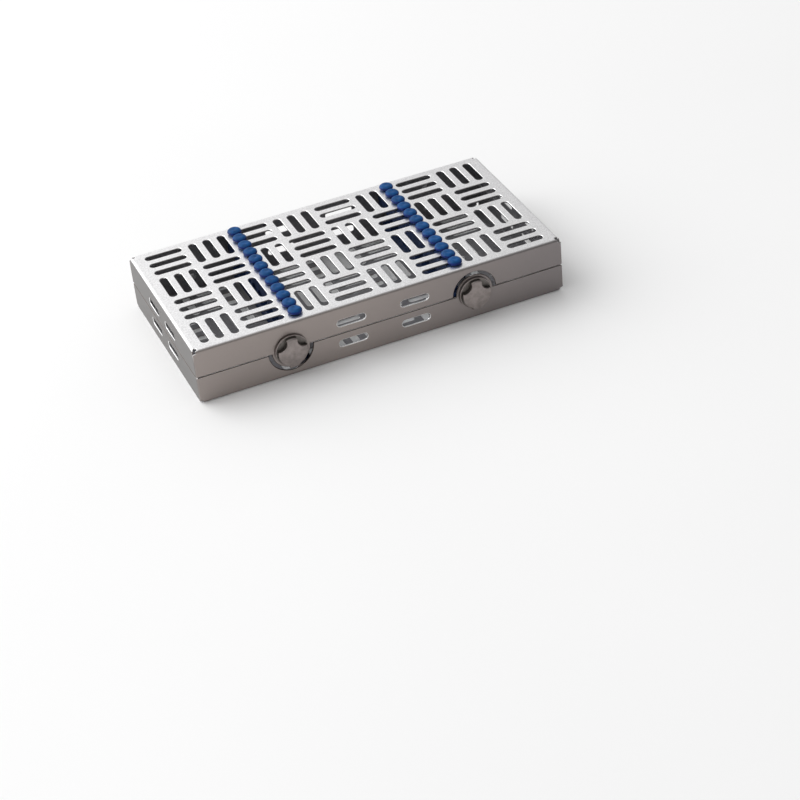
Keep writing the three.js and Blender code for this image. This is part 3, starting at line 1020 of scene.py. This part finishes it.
def grip():
    """The grip from its back at height 0: a round edge, and a face that is slightly domed."""
    rings = [[Vector((0, 0, 0))], grip_ring(1, -small_edge, height=0),
             grip_ring(1, 0, height=small_edge)]
    for step in range(round_steps + 1):
        turn = math.radians(90 * step / round_steps)
        rings.append(grip_ring(1, grip_round * (math.cos(turn) - 1),
                               grip_round * (1 - math.sin(turn))))
    rings += [grip_ring(share, -grip_round) for share in face_shares]
    return ringed([*rings, [Vector((0, 0, grip_thickness))]])


def knob():
    """Skirt, grip, stem and square, measured out of the wall along z."""
    face = running_gap + skirt_thickness
    rim = circle(0, 0, skirt_radius, skirt_steps)
    skirt = cut_sheet(rim, [], skirt_thickness, skirt_edge)
    hole = circle(0, 0, screw_hole_radius, hole_steps)
    stem = cut_sheet(circle(0, 0, stem_radius), [hole], cam_front, small_edge)
    stem_back = cam_front - running_gap
    end = cut_sheet(softened(square(square_side / 2), square_round), [hole],
                    cam_back - stem_back, small_edge)
    return joined(raised(grip(), face), raised(skirt, face), raised(stem, running_gap),
                  raised(end, -stem_back))


def knob_zones(piece, middle):
    """The sunk part inside the skirt's rim is painted darker, as painted shade in the recess."""
    face = running_gap + skirt_thickness
    piece.data.materials.append(painted_recess_shade)
    for polygon in piece.data.polygons:
        spot = polygon.center / metres - middle
        sunk = face - skirt_dip < -spot.y < face + grip_thickness - grip_dome - grip_round
        within = math.hypot(spot.x, spot.z) < skirt_radius - skirt_rim
        polygon.material_index = int(sunk and within)


print("faces in a knob:", len(knob()[2]))

# %% Stamp the cam and the washer, and turn the screw
cam_hub_radius = 4.8
cam_reach = 10.0
cam_middle = 132
cam_lobe = 16
cam_flank = 21
lobe_steps = 12
hub_steps = 48
cam_round = 0.6
eye_round = 0.25
washer_front = 1.3
washer_thickness = 0.4
washer_radius = 5.2
washer_steps = 72
washer_edge = 0.1
screw_radius = 1.2
screw_reach = 2.2
screw_head_radius = 3.8
screw_head_start = 3.5
screw_head_height = 1.2
screw_dome = [(0, 0), (0.45, 0), (0.8, 0.3), (1, 0.85), (1, screw_head_height)]
screw_round = 0.2


def cam():
    """A hub with one lobe, and a square eye that the knob's end fills."""
    lobe = arc(0, 0, cam_reach, cam_middle - cam_lobe, cam_middle + cam_lobe, lobe_steps)
    hub = arc(0, 0, cam_hub_radius, cam_middle + cam_flank, cam_middle - cam_flank + 360,
              hub_steps)
    eye = softened(square(square_side / 2 + running_gap), eye_round)
    flat = cut_sheet(softened([*lobe, *hub], cam_round), [eye], cam_back - cam_front, small_edge)
    return raised(flat, -cam_front)


def washer():
    """A thin ring behind the wall."""
    rim = circle(0, 0, washer_radius, washer_steps)
    flat = cut_sheet(rim, [circle(0, 0, tab_hole_radius)], washer_thickness, washer_edge)
    return raised(flat, -washer_front)


def screw():
    """A shank up the knob and a domed head inside the case."""
    end = screw_head_start + screw_head_height
    profile = points_of(*[(share * screw_head_radius, drop - end) for share, drop in screw_dome],
                        (screw_radius, -screw_head_start), (screw_radius, screw_reach),
                        (0, screw_reach))
    return turned(profile, screw_round)


print("faces in a cam:", len(cam()[2]))

# %% Fit both latches
out_of_front = Matrix(((1, 0, 0), (0, 0, -1), (0, 1, 0))).to_4x4()
half_turn = Matrix.Rotation(math.pi, 4, "Z")
latches = {"left": (-1, "left_latch", half_turn), "right": (1, "right_latch", Matrix.Identity(4))}

for side, (sign, body, turn) in latches.items():
    middle = Vector((sign * latch_offset, -case_depth / 2, parting))
    spot = Matrix.Translation(middle) @ out_of_front
    casting = finished(f"knob_{side}", placed(knob(), spot), body, "cast_steel", tumbled_casting,
                       f"latch_knob_{side}")
    knob_zones(casting, middle)
    # The cam and the washer take the inside finish, painted dark as the shade inside the case.
    finished(f"cam_{side}", placed(cam(), spot @ turn), body, "bright_steel", shaded_mill_inside,
             f"latch_cam_{side}")
    finished(f"washer_{side}", placed(washer(), spot), body, "bright_steel", shaded_mill_inside,
             f"latch_washer_{side}")
    finished(f"screw_{side}", placed(screw(), spot), body, "bright_steel", bright_steel,
             f"latch_spindle_{side}")
print("latches:", len(latches))

# %% [markdown]
# ## Hinges
# A hinge leaf is a flat blank with fingers. The fingers are rolled round the pin to make the
# knuckles: two on the base's leaf and one between them on the lid's. The path below is the
# leaf seen from its end, up the wall and round the pin.

# %% Roll a hinge leaf
hinge_half = 13.0
middle_knuckle = 4.35
barrel_radius = 2.2
barrel_stand_off = 2.5
leaf_thickness = 0.8
leaf_height = 9.6
leaf_edge = 0.12
ease_out_share, ease_up_share, ease_gap = 0.98, 0.6, 0.15
roll_turn = 285
roll_steps = 24
knuckle_start = barrel_radius + running_gap


def leaf_path():
    """Up the wall from the leaf's foot, then round the pin."""
    foot = points_of((-barrel_stand_off, -leaf_height), (-barrel_stand_off, -knuckle_start),
                     (-ease_out_share * barrel_radius - ease_gap, -ease_up_share * knuckle_start))
    return foot + arc(0, 0, barrel_radius, 180, 180 - roll_turn, roll_steps)


def hinge_leaf(knuckle, middle_rolled):
    """A leaf about its pin. Its middle is rolled round the pin, or else its two ends are."""
    path = leaf_path()
    reaches = lengths_along(path)
    outline = points_of((-hinge_half, 0), (hinge_half, 0))
    lines = []
    for left, right, in_middle in ((knuckle, hinge_half, False), (-knuckle, knuckle, True),
                                   (-hinge_half, -knuckle, False)):
        rolled = in_middle == middle_rolled
        top = reaches[-1] if rolled else leaf_height - knuckle_start
        outline += points_of((right, top), (left, top))
        for reach in reaches[1:-1] if rolled else []:
            lines.append(points_of((left + leaf_edge, reach), (right - leaf_edge, reach)))
    holes = [circle(across, leaf_height - rivet_drop, rivet_hole_radius, hole_steps)
             for across in (-rivet_across, rivet_across)]
    return bent(cut_sheet(outline, holes, leaf_thickness, leaf_edge, lines), path)


base_leaf = hinge_leaf(middle_knuckle + running_gap, False)
lid_leaf = hinge_leaf(middle_knuckle, True)
print("faces in the hinge leaves:", len(base_leaf[2]), len(lid_leaf[2]))

# %% Turn the pins and the rivets
pin_radius = 1.1
pin_half = 13.5
pin_round = 0.3
rivet_radius = 1.0
rivet_head_radius = 1.9
rivet_head_height = 0.7
rivet_round = 0.12
rivet_dome = [(0, 1), (0.45, 0.95), (0.8, 0.68), (1, 0.12), (1, 0)]
pin_sides = 32


def hinge_pin():
    """A round pin along z with softened ends."""
    profile = points_of((0, -pin_half), (pin_radius, -pin_half), (pin_radius, pin_half),
                        (0, pin_half))
    return turned(profile, pin_round, pin_sides)


def rivet():
    """A shank along z through leaf and wall, with a domed head on each side."""
    wall = -barrel_stand_off - sheet
    face = leaf_thickness - barrel_stand_off
    dome = [(share * rivet_head_radius, rise * rivet_head_height) for share, rise in rivet_dome]
    profile = points_of(*[(out, wall - rise) for out, rise in dome], (rivet_radius, wall),
                        (rivet_radius, face), *[(out, face + rise) for out, rise in dome[::-1]])
    return turned(profile, rivet_round, pin_sides)


print("faces in a rivet:", len(rivet()[2]))

# %% Fit both hinges
pin_line = case_depth / 2 + barrel_stand_off
along_x = Matrix.Rotation(math.pi / 2, 4, "Y")
along_y = Matrix(((1, 0, 0), (0, 0, 1), (0, -1, 0))).to_4x4()

fitted = []
for side, sign in (("left", -1), ("right", 1)):
    spot = Matrix.Translation((sign * hinge_offset, pin_line, parting))
    finished(f"base_leaf_{side}", placed(base_leaf, spot), "base", "bright_steel", leaf_steel,
             f"hinge_base_leaf_{side}")
    finished(f"lid_leaf_{side}", placed(lid_leaf, spot @ turned_over), "lid", "bright_steel",
             leaf_steel, f"hinge_lid_leaf_{side}")
    finished(f"pin_{side}", placed(hinge_pin(), spot @ along_x), "base", "bright_steel",
             bright_steel, f"hinge_pin_{side}")
    for place, way in (("outer", sign), ("inner", -sign)):
        for body, drop in (("base", -rivet_drop), ("lid", rivet_drop)):
            shift = Matrix.Translation((way * rivet_across, 0, drop))
            form = placed(rivet(), spot @ shift @ along_y)
            fitted.append(finished(f"rivet_{body}_{side}_{place}", form, body, "bright_steel",
                                   bright_steel, f"{body}_rivet_{side}_{place}"))
print("rivets:", len(fitted))

# %% [markdown]
# ## Pieces that keep their own mesh
# The channels under the rails and the keepers behind the latches are plain bent sheet, and
# the frame already has them right. They only need welded corners, a small bevel so that
# their edges catch the light, and a finish.

# %% Finish the channels and the keepers
bevel_width = 0.00015
kept_nodes = [f"{kind}_{side}" for kind in ("rail_channel", "latch_keeper")
              for side in ("left", "right")]

for name in kept_nodes:
    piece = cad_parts[name]
    piece.data.materials.clear()
    # The inside finish is painted dark as the shade inside the case.
    piece.data.materials.append(shaded_mill_inside)
    piece.modifiers.new("weld", "WELD")
    bevel = piece.modifiers.new("bevel", "BEVEL")
    bevel.width = bevel_width
    bevel.segments = 2
    bevel.limit_method = "ANGLE"
    bevel.harden_normals = True
print("pieces that keep their own mesh:", len(kept_nodes))

# %% [markdown]
# ## The floor
# A plain pale floor is all that the case stands on. It reaches far enough to fill every
# reflection in the walls, and it has a faint unevenness so that it does not look computed.

# %% Lay the floor
floor_half = 12.0
floor_colour = (0.94, 0.94, 0.94)
floor_roughness = 0.7

floor_mesh = bpy.data.meshes.new("floor")
floor_mesh.from_pydata([(x, y, 0) for x, y in square(floor_half)], [], [(0, 1, 2, 3)])
floor = bpy.data.objects.new("floor", floor_mesh)
bpy.context.collection.objects.link(floor)
paper, paper_tree, paper_shader = start_finish("pale_floor", floor_colour, 0)
tone(paper_tree, paper_shader, floor_colour, speckle(paper_tree, 3, 0.99, 1.01))
paper_shader.inputs["Roughness"].default_value = floor_roughness
floor.data.materials.append(paper)
print("floor laid")

# %% [markdown]
# ## Light
# Metal shows its surroundings more than its own colour, so lighting steel means choosing
# what it mirrors. From this camera the lid mirrors the room behind the case, which is kept
# bright. The front wall mirrors the floor and the dim side of the room behind the camera.
# One large soft lamp from behind on the left gives the shadow and shapes the round parts.

# %% Light the room
room = bpy.data.worlds.new("room")
room.use_nodes = True
bpy.context.scene.world = room
tree = room.node_tree
background = tree.nodes["Background"]
background.inputs["Color"].default_value = (1, 1, 1, 1)

rightward, backward, upward = (along(tree, "Generated", axis) for axis in "XYZ")
by_depth = spread(tree, backward, start=-1.0, end=0.6, at_start=0.36, at_end=1.0)
by_side = spread(tree, rightward, start=0.15, end=0.40, at_start=1.08, at_end=0.55)
overhead = spread(tree, upward, start=0.7, end=0.95, at_start=0.0, at_end=0.04)
sideways = worked_out(tree, "MULTIPLY", by_depth, by_side)
tree.links.new(worked_out(tree, "ADD", sideways, overhead), background.inputs["Strength"])
print("nodes that light the room:", len(tree.nodes))

# %% Hang the lamp
lamp_place = Vector((-1.5, 1.1, 1.5))
lamp = bpy.data.objects.new("softbox", bpy.data.lights.new("softbox", "AREA"))
lamp.data.size = 2.6
lamp.data.energy = 42
lamp.location = lamp_place
lamp.rotation_euler = (-lamp_place).to_track_quat("-Z", "Y").to_euler()
bpy.context.collection.objects.link(lamp)
print("lamp", round(lamp_place.length, 2), "m from the case")
